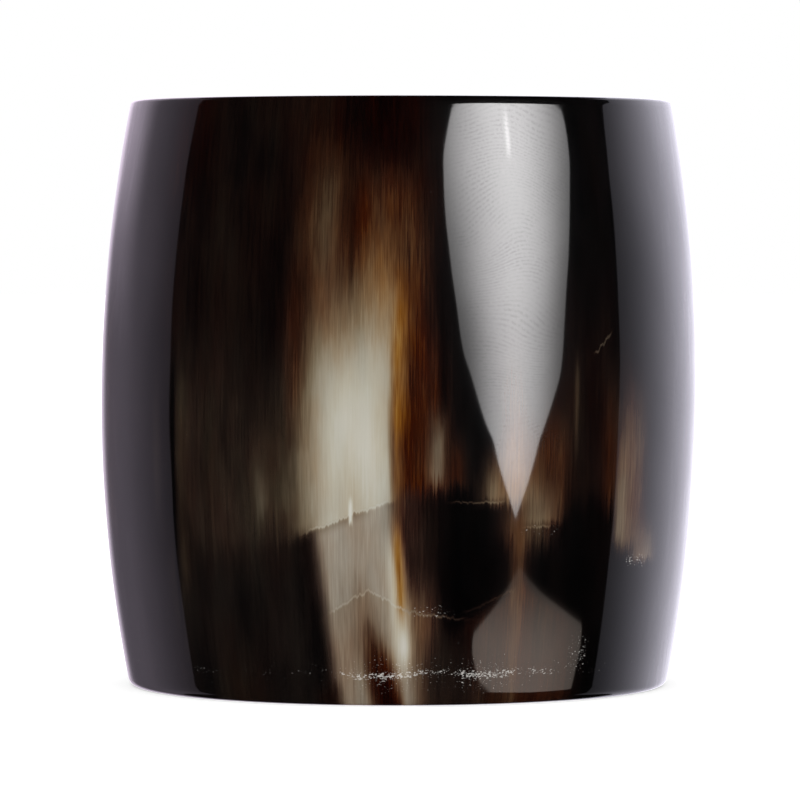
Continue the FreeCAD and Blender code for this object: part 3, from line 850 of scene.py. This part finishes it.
def make_pressed_horn():
    """Flat-pressed horn: cloudy brown with lighter layers, and the fine rings that the lathe left."""
    material = bpy.data.materials.new("pressed_horn")
    material.use_nodes = True
    tree = material.node_tree
    shader = tree.nodes["Principled BSDF"]
    place = tree.nodes.new("ShaderNodeTexCoord").outputs["Object"]
    stretched = vector_maths(tree, "MULTIPLY", place, (150.0, 26.0, 60.0))
    layers = tree.nodes.new("ShaderNodeTexNoise")
    tree.links.new(stretched, layers.inputs["Vector"])
    layers.inputs["Scale"].default_value = 1.0
    layers.inputs["Detail"].default_value = 5.0
    layers.inputs["Distortion"].default_value = 0.8
    colour = ramp(tree, layers.outputs["Fac"], [(0.3, (18, 11, 9)), (0.48, (44, 26, 16)), (0.6, (92, 60, 34)),
                                                (0.74, (150, 116, 76))])
    tree.links.new(colour, shader.inputs["Base Color"])
    rings = tree.nodes.new("ShaderNodeTexWave")
    rings.wave_type = "RINGS"
    rings.rings_direction = "Z"
    tree.links.new(vector_maths(tree, "MULTIPLY", place, (1000.0, 1000.0, 1000.0)), rings.inputs["Vector"])
    rings.inputs["Scale"].default_value = 0.4
    rings.inputs["Distortion"].default_value = 0.4
    bump = tree.nodes.new("ShaderNodeBump")
    bump.inputs["Distance"].default_value = 0.000008
    tree.links.new(rings.outputs["Fac"], bump.inputs["Height"])
    tree.links.new(bump.outputs["Normal"], shader.inputs["Normal"])
    tree.links.new(maths(tree, "ADD", 0.2, maths(tree, "MULTIPLY", layers.outputs["Fac"], 0.16)),
                   shader.inputs["Roughness"])
    shader.inputs["IOR"].default_value = 1.54
    return material


disc.data.materials.append(make_pressed_horn())

# ---------------------------------------------------------------------------------------------------
# The seal: amber resin run into the gap round the disc. It is squeezed up into a bead in the corner
# of the bowl, and wiped to a hollow fillet in the corner under the disc.
INNER_BEAD, UNDER_BEAD = 0.0007, 0.0006
GLUE_GAP = SEAT_RADIUS - DISC_RADIUS


def hollow_fillet(centre, radius, start, end, steps=6):
    """Points of an arc between two angles in degrees."""
    turns = (math.radians(start + (end - start) * i / steps) for i in range(steps + 1))
    return [(centre[0] + radius * math.cos(turn), centre[1] + radius * math.sin(turn)) for turn in turns]


def seal_outline():
    """The cut face of the resin, from its foot outside, up the wall, and back down round the disc."""
    corner = bowl_radius(SEAT_HEIGHT)
    bead = hollow_fillet((corner - INNER_BEAD, disc_high.z + INNER_BEAD), INNER_BEAD, 0, -90)
    wiped = hollow_fillet((SEAT_RADIUS - UNDER_BEAD, disc_low.z - UNDER_BEAD), UNDER_BEAD, 90, 0)
    up_the_wall = [(SEAT_RADIUS, disc_low.z), (SEAT_RADIUS, SEAT_HEIGHT), (corner, SEAT_HEIGHT)]
    round_the_disc = [(DISC_RADIUS - DISC_BEVEL, disc_high.z), (DISC_RADIUS, disc_high.z - DISC_BEVEL),
                      (DISC_RADIUS, disc_low.z + DISC_BEVEL), (DISC_RADIUS - DISC_BEVEL, disc_low.z)]
    return up_the_wall + bead + round_the_disc + wiped


def wiped_by_hand(angle, radius, height):
    """The beads swell and thin a little along their length, and stay put against the wall and disc."""
    if height > disc_high.z + 0.0001 or height < disc_low.z - 0.0001:
        place = Vector((math.sin(angle) * 3, -math.cos(angle) * 3, height * 100))
        return radius - 0.0001 - 0.0001 * noise.noise(place), height
    return radius, height


seal = turned("resin_seal", seal_outline(), wiped_by_hand, turns=240)
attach(seal, "root")
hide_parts("base_seal")


def make_resin():
    """Amber resin: glossy, with faint clouding and a few small bubbles."""
    material = bpy.data.materials.new("amber_resin")
    material.use_nodes = True
    tree = material.node_tree
    shader = tree.nodes["Principled BSDF"]
    place = tree.nodes.new("ShaderNodeTexCoord").outputs["Object"]
    cloud = tree.nodes.new("ShaderNodeTexNoise")
    tree.links.new(place, cloud.inputs["Vector"])
    cloud.inputs["Scale"].default_value = 260.0
    cloud.inputs["Detail"].default_value = 3.0
    colour = ramp(tree, cloud.outputs["Fac"],
                  [(0.3, (52, 27, 10)), (0.55, (96, 54, 20)), (0.75, (140, 92, 44))])
    tree.links.new(colour, shader.inputs["Base Color"])
    tree.links.new(maths(tree, "MULTIPLY", cloud.outputs["Fac"], 0.3), shader.inputs["Roughness"])
    bubbles = tree.nodes.new("ShaderNodeTexVoronoi")
    tree.links.new(place, bubbles.inputs["Vector"])
    bubbles.inputs["Scale"].default_value = 900.0
    bump = tree.nodes.new("ShaderNodeBump")
    bump.inputs["Distance"].default_value = 0.00003
    tree.links.new(ease(tree, bubbles.outputs["Distance"], 0.0, 0.3), bump.inputs["Height"])
    tree.links.new(bump.outputs["Normal"], shader.inputs["Normal"])
    shader.inputs["IOR"].default_value = 1.5
    return material


seal.data.materials.append(make_resin())
